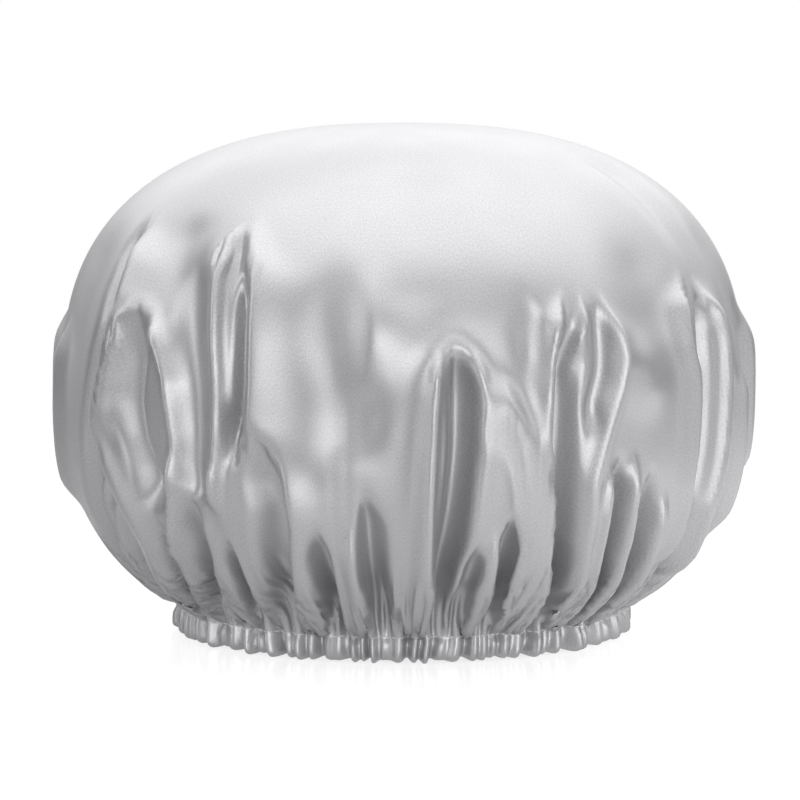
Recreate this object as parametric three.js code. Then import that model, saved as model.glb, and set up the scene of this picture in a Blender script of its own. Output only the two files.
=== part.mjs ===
// Shower cap: a circle of satin with a waterproof lining, gathered on an elastic hem.
// Millimetres, +Z up. The hem stands on z = 0 and the front of the cap faces -Y.
import * as THREE from 'three';

// Sizes of the cap at rest
const capWidth = 255;
const capDepth = 240;
const capHeight = 185;
const widestHeight = 91;
const hemWidth = 161;
const crownFullness = 2.5; // 2 makes a round crown, a larger power a squarer one
const skirtFullness = 3.1; // how long the skirt stays wide before it runs in to the hem

// Materials as they lie in the finished cap
const satinThickness = 0.8; // with the bulk of its finest gathers
const liningThickness = 0.5;
const elasticWidth = 6;
const elasticThickness = 1;
const threadThickness = 0.5;
const clearance = 0.3;

// Hem: the satin turns up on the inside, round the elastic, and is sewn at its neck
const neckHeight = 3; // from the top of the elastic's room to the top of the turned-up edge
const stitchDrop = 1.2; // seam below the top of the turned-up edge
const buttGap = 0.3; // between the two ends of the elastic strip
const zigzagReach = 2; // of the joining stitches, to each side of the butt
const zigzagStrokes = 5;

// Main folds: a ridge at its bearing from the front, and the height where the valley after it starts
const foldDepth = 7;
const hemFoldDepth = 2.4;
const foldRun = 40; // height over which a valley deepens, below its start
const frontFolds = [
  { bearing: -90, nose: 120 },
  { bearing: -78, nose: 155 },
  { bearing: -66, nose: 122 },
  { bearing: -38, nose: 146 },
  { bearing: -14, nose: 75 },
  { bearing: 4, nose: 104 },
  { bearing: 16, nose: 123 },
  { bearing: 36, nose: 85 },
  { bearing: 48, nose: 132 },
  { bearing: 64, nose: 110 },
  { bearing: 78, nose: 120 },
];

// Rings of the cloth between the apex and the widest girth, and from there to the hem
const crownRings = 6;
const skirtRings = 5;

const widestRadius = capWidth / 2;
const hemRadius = hemWidth / 2;
const depthShare = capDepth / capWidth;

// Layers of the hem, as insets from the outer face of the satin
const liningOuter = satinThickness + clearance;
const liningInner = liningOuter + liningThickness;
const elasticOuter = satinThickness + clearance;
const elasticInner = elasticOuter + elasticThickness;
const zigzagOuter = elasticInner + clearance;
const leafOuter = zigzagOuter + threadThickness + clearance;
const leafInner = leafOuter + satinThickness;
const neckOuter = liningInner + clearance;
const neckInner = neckOuter + satinThickness;

// Levels of the hem, from its bottom edge upwards
const elasticBottom = satinThickness + clearance;
const elasticTop = elasticBottom + elasticWidth;
const shoulderHeight = elasticTop + clearance;
const liningEdge = shoulderHeight + clearance;
const casingHeight = shoulderHeight + neckHeight;
const stitchHeight = casingHeight - stitchDrop;

// The back of the cap is gathered as its front is
const backFolds = frontFolds.map(({ bearing, nose }) => ({
  bearing: bearing < 0 ? bearing + 180 : bearing - 180,
  nose,
}));
const folds = [...frontFolds, ...backFolds].sort((one, other) => one.bearing - other.bearing);

// Columns of the cloth round the cap: the ridge of each fold, and the valley after it
const columns = folds.flatMap((fold, index) => {
  const next = index + 1 < folds.length
    ? folds[index + 1]
    : { ...folds[0], bearing: folds[0].bearing + 360 };
  const ridge = { bearing: fold.bearing, ridge: true };
  const valley = {
    bearing: (fold.bearing + next.bearing) / 2,
    ridge: false,
    sinksFrom: fold.nose,
  };
  return [ridge, valley];
});

// Levels of the cap's meridian: a radius, a height and the outward normal there
function crownLevel(angle) {
  const rise = capHeight - widestHeight;
  const out = Math.cos(angle) ** (2 / crownFullness);
  const up = Math.sin(angle) ** (2 / crownFullness);
  const normal = new THREE.Vector2(
    out ** (crownFullness - 1) / widestRadius,
    up ** (crownFullness - 1) / rise,
  ).normalize();
  return { radius: widestRadius * out, height: widestHeight + rise * up, normal };
}

function skirtLevel(share) {
  const drop = widestHeight - casingHeight;
  const taper = widestRadius - hemRadius;
  const slope = taper * skirtFullness * share ** (skirtFullness - 1);
  return {
    radius: widestRadius - taper * share ** skirtFullness,
    height: widestHeight - drop * share,
    normal: new THREE.Vector2(drop, -slope).normalize(),
  };
}

function hemLevel(height) {
  return { radius: hemRadius, height, normal: new THREE.Vector2(1, 0) };
}

// Meridian of the cloth from below the apex down to the top of the hem
const meridian = [];
for (let ring = crownRings; ring > 0; ring -= 1) {
  meridian.push(crownLevel((ring / (crownRings + 1)) * (Math.PI / 2)));
}
for (let ring = 0; ring <= skirtRings; ring += 1) {
  meridian.push(skirtLevel(ring / (skirtRings + 1)));
}
meridian.push(hemLevel(casingHeight));

// How far a column sinks below the plain meridian at a height
function foldAt(column, height) {
  const onset = THREE.MathUtils.smoothstep(column.sinksFrom - height, 0, foldRun);
  const aboveHem = THREE.MathUtils.smoothstep(height, casingHeight, widestHeight);
  return onset * THREE.MathUtils.lerp(hemFoldDepth, foldDepth, aboveHem);
}

function place(column, { level, inset }) {
  const sunk = column.ridge ? 0 : foldAt(column, level.height);
  const out = -sunk - inset;
  const radius = level.radius + level.normal.x * out;
  const bearing = THREE.MathUtils.degToRad(column.bearing);
  return new THREE.Vector3(
    radius * Math.sin(bearing),
    -radius * Math.cos(bearing) * depthShare,
    level.height + level.normal.y * out,
  );
}

const sectionsOf = (profile) => columns.map((column) => profile.map((entry) => place(column, entry)));

function geometryOf(points, triangles) {
  const geometry = new THREE.BufferGeometry();
  geometry.setAttribute('position', new THREE.Float32BufferAttribute(points.flatMap((p) => p.toArray()), 3));
  geometry.setIndex(triangles.flat());
  geometry.computeVertexNormals();
  return geometry;
}

// Triangles between neighbouring sections, each a row of points in the same order. Every face is
// split from its higher corner on one side to its lower corner on the other, so layers lie parallel.
function skin(sections, loop, closedProfile) {
  const triangles = [];
  const pointCount = sections[0].length;
  for (let section = 0; section < (loop ? sections.length : sections.length - 1); section += 1) {
    const here = section * pointCount;
    const there = ((section + 1) % sections.length) * pointCount;
    for (let point = 0; point < (closedProfile ? pointCount : pointCount - 1); point += 1) {
      const next = (point + 1) % pointCount;
      if (sections[section][point].z >= sections[section][next].z) {
        triangles.push([here + point, here + next, there + next]);
        triangles.push([here + point, there + next, there + point]);
      } else {
        triangles.push([here + point, here + next, there + point]);
        triangles.push([here + next, there + next, there + point]);
      }
    }
  }
  return triangles;
}

// A dome of cloth: its profile runs from below the outer apex round the edge to the inner apex
function dome(profile, apexInset) {
  const sections = sectionsOf(profile);
  const points = sections.flat();
  const triangles = skin(sections, true, false);
  const outerApex = points.push(new THREE.Vector3(0, 0, capHeight - apexInset.outer)) - 1;
  const innerApex = points.push(new THREE.Vector3(0, 0, capHeight - apexInset.inner)) - 1;
  columns.forEach((column, index) => {
    const here = index * profile.length;
    const there = ((index + 1) % columns.length) * profile.length;
    triangles.push([outerApex, here, there]);
    triangles.push([innerApex, there + profile.length - 1, here + profile.length - 1]);
  });
  return geometryOf(points, triangles);
}

const layer = (inset) => meridian.map((level) => ({ level, inset }));
const hemPoint = (inset, height) => ({ level: hemLevel(height), inset });

function satinShell() {
  const turnedHem = [
    hemPoint(0, 0),
    hemPoint(leafInner, 0),
    hemPoint(leafInner, shoulderHeight),
    hemPoint(neckInner, casingHeight),
    hemPoint(neckOuter, casingHeight),
    hemPoint(leafOuter, shoulderHeight),
    hemPoint(leafOuter, satinThickness),
    hemPoint(satinThickness, satinThickness),
  ];
  const profile = [...layer(0), ...turnedHem, ...layer(satinThickness).reverse()];
  return dome(profile, { outer: 0, inner: satinThickness });
}

function waterproofLining() {
  const edge = [hemPoint(liningOuter, liningEdge), hemPoint(liningInner, liningEdge)];
  const profile = [...layer(liningOuter), ...edge, ...layer(liningInner).reverse()];
  return dome(profile, { outer: liningOuter, inner: liningInner });
}

// The elastic is one strip whose two ends meet at the back, between the last column and the first
const elasticProfile = [
  hemPoint(elasticOuter, elasticBottom),
  hemPoint(elasticInner, elasticBottom),
  hemPoint(elasticInner, elasticTop),
  hemPoint(elasticOuter, elasticTop),
];
const elasticSections = sectionsOf(elasticProfile);
const backSpan = elasticSections.at(-1)[0].distanceTo(elasticSections[0][0]);

function acrossBack(share) {
  const start = elasticSections.at(-1);
  return start.map((point, index) => point.clone().lerp(elasticSections[0][index], share));
}

function elasticBand() {
  const halfGap = buttGap / 2 / backSpan;
  const sections = [acrossBack(0.5 + halfGap), ...elasticSections, acrossBack(0.5 - halfGap)];
  const corners = elasticProfile.length;
  const last = (sections.length - 1) * corners;
  const endCaps = [
    [0, 2, 1],
    [0, 3, 2],
    [last, last + 1, last + 2],
    [last, last + 2, last + 3],
  ];
  return geometryOf(sections.flat(), [...skin(sections, false, true), ...endCaps]);
}

// Zigzag stitches that join the ends of the elastic, lying on its inner face
function elasticJoinStitch() {
  const strokeHeight = (elasticWidth - 2 * threadThickness) / zigzagStrokes;
  const halfStroke = (threadThickness / 2) * Math.hypot(1, (2 * zigzagReach) / strokeHeight);
  const turns = Array.from({ length: zigzagStrokes + 1 }, (_, turn) => new THREE.Vector2(
    turn % 2 === 0 ? -zigzagReach : zigzagReach,
    threadThickness + turn * strokeHeight,
  ));
  const leftEdge = turns.map((turn) => new THREE.Vector2(turn.x - halfStroke, turn.y));
  const rightEdge = turns.map((turn) => new THREE.Vector2(turn.x + halfStroke, turn.y));
  const outline = new THREE.Shape([...rightEdge, ...leftEdge.reverse()]);
  return new THREE.ExtrudeGeometry(outline, { depth: threadThickness, bevelEnabled: false });
}

// A round of thread along the hem: a six-sided section about a point of the hem's profile
function threadRound(inset, height) {
  const sides = 6;
  const profile = Array.from({ length: sides }, (_, side) => {
    const angle = (side / sides) * 2 * Math.PI;
    const across = (threadThickness / 2) * Math.cos(angle);
    const up = (threadThickness / 2) * Math.sin(angle);
    return hemPoint(inset + across, height - up);
  }).reverse();
  const sections = sectionsOf(profile);
  return geometryOf(sections.flat(), skin(sections, true, true));
}

const hemNeedleThread = () => threadRound(-clearance - threadThickness / 2, stitchHeight);

function hemBobbinThread() {
  const leafFace = THREE.MathUtils.lerp(neckInner, leafInner, stitchDrop / neckHeight);
  return threadRound(leafFace + clearance + threadThickness / 2, stitchHeight);
}

const satin = new THREE.MeshStandardMaterial({ color: 0xc3c4c8, roughness: 0.32, metalness: 0.25 });
const film = new THREE.MeshStandardMaterial({ color: 0xe9ecee, roughness: 0.4, metalness: 0 });
const knit = new THREE.MeshStandardMaterial({ color: 0xf1f0ec, roughness: 0.85, metalness: 0 });
const thread = new THREE.MeshStandardMaterial({ color: 0xd3d4d7, roughness: 0.6, metalness: 0 });

const cap = new THREE.Group();

function add(name, geometry, material) {
  const mesh = new THREE.Mesh(geometry, material);
  mesh.name = name;
  cap.add(mesh);
  return mesh;
}

add('satin_shell', satinShell(), satin);
add('waterproof_lining', waterproofLining(), film);
add('elastic_band', elasticBand(), knit);
add('hem_needle_thread', hemNeedleThread(), thread);
add('hem_bobbin_thread', hemBobbinThread(), thread);

// The joining stitches stand on the inner face of the elastic, across its butt
const joinStitch = add('elastic_join_stitch', elasticJoinStitch(), thread);
const [, innerFoot] = acrossBack(0.5);
const along = elasticSections.at(-1)[1].clone().sub(elasticSections[0][1]).normalize();
const upward = new THREE.Vector3(0, 0, 1);
const inward = new THREE.Vector3().crossVectors(along, upward);
joinStitch.quaternion.setFromRotationMatrix(new THREE.Matrix4().makeBasis(along, upward, inward));
joinStitch.position.copy(innerFoot).addScaledVector(inward, zigzagOuter - elasticInner);

export default cap;
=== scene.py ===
import math

import bpy
import numpy as np
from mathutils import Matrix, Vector


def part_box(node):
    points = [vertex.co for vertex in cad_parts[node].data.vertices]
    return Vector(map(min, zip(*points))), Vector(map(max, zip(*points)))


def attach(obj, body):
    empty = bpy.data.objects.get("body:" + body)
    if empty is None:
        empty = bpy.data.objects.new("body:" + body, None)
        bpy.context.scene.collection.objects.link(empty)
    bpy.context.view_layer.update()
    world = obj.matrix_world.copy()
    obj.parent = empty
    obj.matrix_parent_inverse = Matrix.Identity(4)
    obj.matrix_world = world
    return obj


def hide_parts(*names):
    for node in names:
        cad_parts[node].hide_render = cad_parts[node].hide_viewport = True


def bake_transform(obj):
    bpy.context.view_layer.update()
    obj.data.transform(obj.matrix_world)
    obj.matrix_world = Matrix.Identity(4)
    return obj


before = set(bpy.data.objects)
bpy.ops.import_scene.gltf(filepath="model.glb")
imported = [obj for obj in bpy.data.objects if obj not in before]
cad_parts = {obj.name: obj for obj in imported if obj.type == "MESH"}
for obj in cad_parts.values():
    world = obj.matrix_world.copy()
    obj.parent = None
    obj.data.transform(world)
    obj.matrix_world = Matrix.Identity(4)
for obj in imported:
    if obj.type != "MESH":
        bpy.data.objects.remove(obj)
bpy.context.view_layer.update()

# Lengths are in millimetres until a mesh is made

METRE = 1000.0


def node_box(node):
    """Low and high corner of a CAD node's box, in millimetres."""
    low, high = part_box(node)
    return np.array(low) * METRE, np.array(high) * METRE


shell_low, shell_high = node_box("satin_shell")
elastic_low, elastic_high = node_box("elastic_band")
needle_low, needle_high = node_box("hem_needle_thread")
bobbin_high = node_box("hem_bobbin_thread")[1]
join_low, join_high = node_box("elastic_join_stitch")
lining_low = node_box("waterproof_lining")[0]

# The plain cap is smaller than the CAD shell all round, by the room that its folds need to stand proud

PROUD = 3.5
CAP_WIDTH = shell_high[0] - shell_low[0] - 2 * PROUD
CAP_DEPTH = shell_high[1] - shell_low[1] - 2 * PROUD
CAP_HEIGHT = shell_high[2]
DEPTH_SHARE = CAP_DEPTH / CAP_WIDTH
WIDEST_HEIGHT = 91.0
CROWN_FULLNESS = 2.5
SKIRT_FULLNESS = 3.1

# The seam is placed from the CAD thread outside it, and the hem's inner leaf from the CAD thread inside it

NEEDLE_STANDOUT = 1.0
BOBBIN_STANDOUT = 0.4
THREAD = needle_high[2] - needle_low[2]
SEAM_HEIGHT = (needle_low[2] + needle_high[2]) / 2
SEAM_RADIUS = needle_high[0] - NEEDLE_STANDOUT
LEAF_INSET = SEAM_RADIUS - bobbin_high[0] - BOBBIN_STANDOUT

def smooth_step(low, high, value):
    """0 at the low value and 1 at the high one, with a smooth run between them."""
    share = np.clip((value - low) / (high - low), 0, 1)
    return share * share * (3 - 2 * share)


def turned(bearing, centre):
    """Difference of two bearings, between minus and plus half a turn."""
    return (bearing - centre + math.pi) % (2 * math.pi) - math.pi


def bearings(columns):
    """Bearings round the cap: 0 at the front and positive to the right as the photograph sees it."""
    return np.linspace(-math.pi, math.pi, columns, endpoint=False)


# The plain cap: a crown above the widest girth and a skirt that runs in to the seam

CROWN_STEPS = 600
SKIRT_STEPS = 400


def fine_meridian():
    """Closely spaced radius, height and distance from the apex of the plain cap."""
    angle = np.linspace(math.pi / 2, 0, CROWN_STEPS)
    crown_radius = CAP_WIDTH / 2 * np.cos(angle) ** (2 / CROWN_FULLNESS)
    crown_radius[0] = 0
    crown_height = WIDEST_HEIGHT + (CAP_HEIGHT - WIDEST_HEIGHT) * np.sin(angle) ** (2 / CROWN_FULLNESS)
    skirt_height = np.linspace(WIDEST_HEIGHT, SEAM_HEIGHT, SKIRT_STEPS)[1:]
    down = (WIDEST_HEIGHT - skirt_height) / (WIDEST_HEIGHT - SEAM_HEIGHT)
    skirt_radius = CAP_WIDTH / 2 - (CAP_WIDTH / 2 - SEAM_RADIUS) * down ** SKIRT_FULLNESS
    radius = np.concatenate([crown_radius, skirt_radius])
    height = np.concatenate([crown_height, skirt_height])
    along = np.concatenate([[0], np.cumsum(np.hypot(np.diff(radius), np.diff(height)))])
    return radius, height, along


FINE_RADIUS, FINE_HEIGHT, FINE_ALONG = fine_meridian()


class PlainCap:
    """A grid on the plain cap: evenly spaced rows from the apex down to the seam, columns round it."""

    def __init__(self, rows, columns):
        self.rows = rows
        self.columns = columns
        self.along = np.linspace(0, FINE_ALONG[-1], rows + 1)[1:]
        self.radius = np.interp(self.along, FINE_ALONG, FINE_RADIUS)
        self.height = np.interp(self.along, FINE_ALONG, FINE_HEIGHT)
        run = np.gradient(self.radius, self.along)
        rise = np.gradient(self.height, self.along)
        self.bearing = bearings(columns)
        side = np.sin(self.bearing)[None, :]
        front = -np.cos(self.bearing)[None, :] * DEPTH_SHARE
        level = np.broadcast_to(self.height[:, None], (rows, columns))
        self.points = np.stack([self.radius[:, None] * side, self.radius[:, None] * front, level], axis=-1)
        lift = np.broadcast_to(run[:, None], (rows, columns))
        normal = np.stack([-rise[:, None] * side, -rise[:, None] * front, lift], axis=-1)
        self.normal = normal / np.linalg.norm(normal, axis=-1, keepdims=True)

    def raised(self, relief):
        return self.points + self.normal * relief[..., None]

    def down_to(self, height):
        """Distance from the apex of a height."""
        return np.interp(-height, -FINE_HEIGHT, FINE_ALONG)


# Folds of the front that run down the cap: rise, half widths to the left and right of the crest or bottom,
# then the path as (bearing in degrees, height) from the nose to the foot

LEFT_FOLDS = [
    (-8, 6, 3.4, [(-60, 156), (-57, 138), (-57, 118), (-60, 98), (-63, 79), (-66, 50), (-72, 16)]),
    (5, 2.4, 8, [(-55.4, 156), (-53, 136), (-53, 120), (-54.5, 106), (-58, 86)]),
    (3, 2.5, 2, [(-51, 121), (-53, 106), (-55, 92)]),
    (-13, 7, 4, [(-48, 124), (-48, 106), (-49, 92), (-48, 80), (-45, 66)]),
    (3.5, 7, 6, [(-60, 88), (-56, 70), (-52.5, 56), (-49.5, 42), (-52, 28), (-58, 15)]),
    (5, 2, 4, [(-45, 124), (-42, 110), (-40, 100), (-38.5, 80), (-40, 60), (-42, 46), (-48, 26), (-56, 14)]),
    (-6, 8, 7, [(-38, 148), (-36, 122), (-34, 98), (-34.5, 74), (-34.5, 62)]),
    (5, 6, 2, [(-31, 154), (-32.4, 147), (-32, 138), (-31, 123), (-30, 104), (-30, 84), (-31.5, 64)]),
    (-9, 2.2, 2, [(-27.3, 138), (-26.5, 112), (-26.5, 96), (-28, 84)]),
    (5, 2, 10, [(-30, 154), (-27.4, 147), (-25.8, 138), (-24.6, 129), (-24, 110), (-24, 96), (-24.5, 86)]),
    (-14, 8, 2.2, [(-23.5, 84), (-21.5, 72), (-20.3, 56), (-21.8, 30), (-25, 14)]),
    (4.5, 2, 10, [(-20.5, 80), (-18.6, 68), (-17.6, 54), (-19, 30), (-22, 14)]),
    (-13, 5, 2.2, [(-37, 62), (-37, 40), (-40, 26), (-47, 12)]),
    (-11, 3.5, 2.2, [(-31, 48), (-32, 26), (-35, 11)]),
    (-4, 3, 2.5, [(-62, 66), (-62, 52), (-64, 40)]),
    (-8, 6, 6, [(-63, 84), (-61, 66), (-58, 50), (-57.5, 36), (-61, 20), (-66, 13)]),
    (-11, 4, 2.5, [(-46, 52), (-44.5, 40), (-47, 28), (-54, 14)]),
]

MIDDLE_FOLDS = [
    (2.2, 10, 9, [(-4, 146), (-5, 118), (-6, 104)]),
    (-3, 10, 10, [(-12, 148), (-10.5, 118), (-8, 96), (-8, 84)]),
    (-12, 4.5, 2.2, [(-14, 54), (-13.4, 26), (-15, 10)]),
    (4, 4, 1.6, [(-8.5, 54), (-8.5, 34), (-7.5, 12)]),
    (-14, 2, 5.5, [(-6.3, 66), (-6.3, 36), (-5.8, 11)]),
    (-4, 2.5, 2, [(-1, 24), (-0.5, 10)]),
    (6, 6, 1.6, [(6.6, 114), (5.4, 108), (4.8, 90), (4.2, 62), (4.2, 33), (5, 12)]),
    (-18, 2.4, 5.5, [(8, 114), (8.4, 96), (8.4, 80), (7.6, 56), (6.6, 36), (6.8, 14)]),
    (5, 2, 7, [(9.4, 114), (11.2, 108), (12, 96), (11.6, 80), (10.4, 56), (9, 30)]),
    (-11, 3.2, 3.2, [(12, 50), (12, 26), (12.5, 11)]),
    (4, 2.5, 2.5, [(14.6, 54), (14.6, 32), (15.4, 12)]),
    (-13, 2.2, 4.4, [(17, 60), (17, 30), (18, 11)]),
]

RIGHT_FOLDS = [
    (-3.5, 8, 5, [(19, 136), (21.2, 122), (22.4, 110)]),
    (8, 9, 7, [(15, 108), (17, 86), (19, 68), (20, 48), (21, 30)]),
    (5, 5, 1.7, [(27, 132), (24.2, 114), (23, 98), (22.4, 83), (22.6, 68), (23.4, 54), (25, 38), (28, 20)]),
    (-15, 2.8, 5, [(27.6, 122), (25.8, 104), (25.6, 83), (25.4, 62), (26.2, 45), (29.6, 22), (32, 12)]),
    (3, 2, 2, [(30.2, 131), (30, 119), (27.4, 108)]),
    (-4.5, 3, 3, [(32.2, 129), (33, 116), (32.6, 104), (31, 94)]),
    (4.5, 3.4, 5, [(34, 131), (36, 118), (36.6, 108), (35.4, 96), (33, 82), (31, 66), (31.6, 45), (35, 20)]),
    (4.5, 2.2, 2.2, [(34.4, 74), (33.8, 56), (35.2, 38), (40, 14)]),
    (-13, 3.2, 3.2, [(36.6, 76), (36.4, 54), (37.4, 38), (43.4, 13)]),
    (4.5, 2.6, 2.4, [(39.6, 76), (39.6, 56), (40.8, 38), (46.6, 12)]),
    (-15, 3.8, 3.8, [(44, 70), (44.4, 44), (46, 32), (50, 13)]),
    (4, 2.5, 3, [(47.6, 62), (47.6, 44), (49.6, 30), (54, 14)]),
    (4.5, 6, 1.6, [(57.4, 137), (53.2, 126), (52.2, 112), (53.8, 99), (53.4, 78), (52.6, 62), (54, 44)]),
    (-15, 2.6, 5, [(59.4, 130), (58, 112), (57.6, 94), (57, 77), (55.4, 56), (57.4, 34), (62, 14)]),
    (5, 2.2, 6, [(62, 134), (64, 112), (63.4, 90), (62.6, 72), (61, 54), (63, 36)]),
    (-6, 4, 3, [(72, 108), (70, 84), (70, 50), (73, 14)]),
    (4, 3, 5, [(75, 104), (74, 80), (74, 50)]),
]

# Folds of each side, which the photograph shows edge on

SIDE_FOLDS = [
    (-8, 5, 6, [(82, 128), (83, 104), (84, 70), (84, 40), (82, 12)]),
    (4.5, 3, 6, [(87, 122), (88, 96), (88, 66)]),
    (-5, 3, 3, [(78, 60), (78, 40), (79, 12)]),
    (-7, 4, 5, [(96, 112), (97, 84), (96, 50), (94, 12)]),
    (4.5, 2.5, 6, [(100, 118), (101, 90), (100, 60)]),
    (-5, 3, 3, [(90, 64), (90, 40), (89, 12)]),
]

# Creases and swells along any path: rise, half width, then the path

FRONT_CREASES = [
    (0.8, 7, [(-22, 78), (-17, 74), (-12, 70), (-7, 75), (-3, 84), (0, 97), (2, 112)]),
    (-0.8, 13, [(-15, 94), (-10, 94)]),
    (-2.0, 11, [(1, 168), (2, 134)]),
    (2.6, 3.5, [(-38.5, 68), (-37, 61), (-34.5, 58), (-32.4, 61), (-31.5, 68)]),
    (2.2, 4, [(-32.2, 140), (-32, 146), (-31, 150), (-29.4, 150.5), (-27.6, 147), (-26, 140)]),
    (2.0, 3, [(5.2, 105), (5.8, 110), (7.2, 113), (8.8, 113), (10.6, 110), (11.6, 105)]),
    (2.0, 3, [(-52.8, 111), (-51.6, 119), (-49.6, 123.5), (-47.4, 124), (-45.2, 121), (-43.4, 114)]),
    (-3.0, 10, [(-44, 148), (-41, 134)]),
    (-2.4, 12, [(45, 136), (46, 124)]),
    (3.0, 9, [(41, 106), (42, 98)]),
    (-2.0, 14, [(-72, 136), (-74, 112)]),
    (-2.0, 14, [(76, 140), (78, 118)]),
    (-1.8, 3, [(-28, 90), (-27, 85), (-24.5, 83), (-22.5, 79)]),
    (-2.6, 9, [(65, 170), (62, 152), (63, 134)]),
]


def to_back(fold):
    """The same fold half a turn further round, because the back is gathered as the front is."""
    return (*fold[:-1], [(bearing + 180, height) for bearing, height in fold[-1]])


FRONT_FOLDS = LEFT_FOLDS + MIDDLE_FOLDS + RIGHT_FOLDS
ALL_FOLDS = FRONT_FOLDS + SIDE_FOLDS + [to_back(fold) for fold in FRONT_FOLDS + SIDE_FOLDS]
ALL_CREASES = FRONT_CREASES + [to_back(crease) for crease in FRONT_CREASES]


# The folds' form: the powers of a crest and of a hollow, how nose and foot run out, how deep they go

CREST = 1.6
HOLLOW = 2.7
NOSE_LENGTH = 7
NOSE_PER_WIDTH = 1.1
NOSE_WIDTH = 0.4
NOSE_SHARE = 0.5
FOOT_LENGTH = 14
FULL_DEPTH_AT = 20
DEEPEST = 18.0
SEAM_ROOM = 0.6
SEAM_ROOM_FROM = 60


def fold_relief(fold, cap):
    """Relief of a fold that runs down the cap, with a rounded nose and a fading foot."""
    rise, left, right, path = fold
    path = np.array(path[::-1], dtype=float)
    foot_height = path[0, 1]
    nose_height = path[-1, 1]
    centre = np.interp(cap.height, path[:, 1], np.radians(path[:, 0]))
    nose = smooth_step(0, NOSE_LENGTH + NOSE_PER_WIDTH * (left + right), nose_height - cap.height)
    foot = smooth_step(-FOOT_LENGTH, 0, cap.height - foot_height)
    offset = turned(cap.bearing[None, :], centre[:, None]) * cap.radius[:, None]
    half = np.where(offset < 0, left, right) * (NOSE_WIDTH + (1 - NOSE_WIDTH) * nose)[:, None]
    if rise > 0:
        return rise * (nose * foot)[:, None] * np.exp(-np.abs(offset / half) ** CREST)
    fall = max(nose_height - FULL_DEPTH_AT, FULL_DEPTH_AT)
    grown = np.clip((nose_height - cap.height) / fall, 0, 1)
    sunk = NOSE_SHARE + (1 - NOSE_SHARE) * grown
    return rise * (nose * foot * sunk)[:, None] * np.exp(-np.abs(offset / half) ** HOLLOW)


def settled(relief, cap):
    """Relief whose valleys don't go further in than the seam that they run down to."""
    room = np.minimum(DEEPEST, cap.radius - SEAM_RADIUS + SEAM_ROOM)[:, None]
    lower = smooth_step(WIDEST_HEIGHT, SEAM_ROOM_FROM, cap.height)[:, None]
    room = DEEPEST + (room - DEEPEST) * lower
    return np.where(relief < 0, -room * (1 - np.exp(relief / room)), relief)


def crease_relief(crease, cap):
    """Relief of a crease along any path on the cap."""
    rise, half_width, path = crease
    nearest = np.full((cap.rows, cap.columns), np.inf)
    for (start_bearing, start_height), (end_bearing, end_height) in zip(path[:-1], path[1:]):
        start = turned(math.radians(start_bearing), cap.bearing)[None, :] * cap.radius[:, None]
        above = (cap.down_to(start_height) - cap.along)[:, None]
        below = (cap.down_to(end_height) - cap.along)[:, None]
        run = math.radians(end_bearing - start_bearing) * cap.radius[:, None]
        drop = below - above
        share = np.clip(-(start * run + above * drop) / (run ** 2 + drop ** 2), 0, 1)
        nearest = np.minimum(nearest, (start + share * run) ** 2 + (above + share * drop) ** 2)
    return rise * np.exp(-nearest / half_width ** 2)


# The gathers of the hem, finer than the folds that they open into. They wander round the cap by waves, each
# with its size, count and phase

PLEATS = 104
PLEAT_DEPTH = 2.3
PLEAT_WANDER = [(2.0, 5, 0.4), (1.6, 11, 2.0), (1.1, 23, 4.1)]
PLEAT_MEAN = 0.6
PLEAT_PATCHES = 0.35
PLEAT_CHANGES = 0.25
RIDGE_FULLNESS = 0.3
PAIR_WANDER = [(1.6, 5, 0.4), (1.2, 9, 1.0), (0.9, 14, 3.0)]
PAIR_SHARE = 0.6
PAIR_LEAN = 0.01


def waves(bearing, terms):
    """Sum of waves round the cap."""
    return sum(size * np.sin(count * bearing + phase) for size, count, phase in terms)


def paired_wave(bearing):
    """Wider gathers, about two pleats each."""
    return np.cos(PLEATS / 2 * bearing + waves(bearing, PAIR_WANDER))


def pleat_wave(bearing, lean=0.0):
    """Uneven pleats round the hem, with full ridges and narrower creases."""
    patches = PLEAT_PATCHES * np.sin(7 * bearing + 1.0) * np.sin(17 * bearing + 0.3)
    uneven = PLEAT_MEAN + patches + PLEAT_CHANGES * np.sin(31 * bearing)
    ridge = np.cos(PLEATS * bearing + waves(bearing, PLEAT_WANDER) + lean)
    pairs = PAIR_SHARE * paired_wave(bearing + PAIR_LEAN * lean)
    return uneven * (ridge + RIDGE_FULLNESS * (1 - ridge ** 2)) + pairs


# The satin is cut wider than the cap is round. It is relaxed here from seeded folds, level by level: rows,
# columns, steps and the most extra length round the cap

LEVELS = [(80, 440, 1, 0.8), (100, 832, 4, 1.2)]
FULLNESS = 0.5
FULL_FROM = 45.0
FULL_BY = 14.0
STRETCH_PASSES = 2
STRETCH_ROUND = 0.9
STRETCH_DOWN = 0.95
SHEAR = 0.12
BENDING = 0.12
GLIDE = 0.9
SEED_HOLD = 0.01
TINY = 1e-6


def gap_lengths(points, axis):
    """Lengths between neighbours, round the cap on axis 1 and down it on axis 0."""
    if axis == 1:
        return np.linalg.norm(np.roll(points, -1, axis=1) - points, axis=-1)
    return np.linalg.norm(points[1:] - points[:-1], axis=-1)


def cut_lengths(cap, seeded, widest):
    """Lengths between neighbours in the cut cloth, round the cap and down it."""
    begun = smooth_step(FULL_FROM, FULL_BY, cap.height)
    extra = FULLNESS * np.maximum(cap.along / cap.radius - 1, 0) * begun
    extra = (widest * (1 - np.exp(-extra / widest)))[:, None]
    round_lengths = gap_lengths(cap.points, 1) * extra + gap_lengths(seeded, 1)
    return round_lengths, gap_lengths(seeded, 0)


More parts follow.
